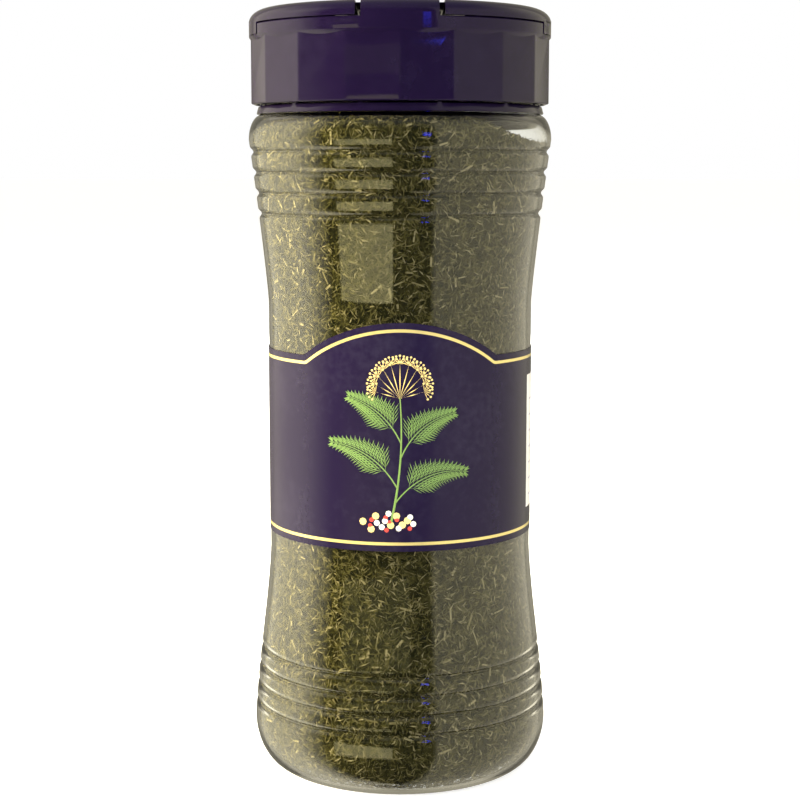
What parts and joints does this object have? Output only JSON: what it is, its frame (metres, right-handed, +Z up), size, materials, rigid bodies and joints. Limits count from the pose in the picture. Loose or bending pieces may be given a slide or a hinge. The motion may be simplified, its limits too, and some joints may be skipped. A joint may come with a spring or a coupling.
{
  "type": "jar of dried dill",
  "caption": "Clear waisted catering jar full of dried dill, with a wrap-around label, a tamper band and a faceted screw cap whose flip lids open on a sifter and a pouring hole.",
  "frame": {"origin": "centre of the base, on the surface that the jar stands on", "axes": "+Z up along the jar's axis; the label's front faces -Y; the pouring lid is at +X and the sifter lid at -X"},
  "size_m": [0.0934, 0.0934, 0.2361],
  "materials": {
    "clear_plastic": "clear, glossy",
    "dried_dill": "dry, matt, loose leaf",
    "label_film": "printed film, satin",
    "navy_plastic": "moulded, glossy",
    "seal_foam": "matt foam"
  },
  "bodies": {
    "jar": {"jar": "clear_plastic", "dill": "dried_dill", "label": "label_film", "tamper_band": "navy_plastic"},
    "seal": {"seal_ring": "seal_foam"},
    "cap": {"cap": "navy_plastic"},
    "pour_lid": {"pour_lid": "navy_plastic"},
    "sift_lid": {"sift_lid": "navy_plastic"}
  },
  "joints": [
    {"name": "cap_rise", "type": "slide", "parent": "jar", "child": "seal", "axis": [0, 0, 1], "range_m": [0, 0.00508]},
    {"name": "cap_turn", "type": "hinge", "parent": "seal", "child": "cap", "pos_m": [0, 0, 0.22], "axis": [0, 0, 1], "range_deg": [0, 360]},
    {"name": "pour_lid_hinge", "type": "hinge", "parent": "cap", "child": "pour_lid", "pos_m": [0.012, 0, 0.2358], "axis": [0, -1, 0], "range_deg": [0, 105]},
    {"name": "sift_lid_hinge", "type": "hinge", "parent": "cap", "child": "sift_lid", "pos_m": [-0.012, 0, 0.2358], "axis": [0, 1, 0], "range_deg": [0, 105]}
  ],
  "couplings": [
    {"joint": "cap_rise", "follows": "cap_turn", "m_per_rad": 0.00080851}
  ]
}
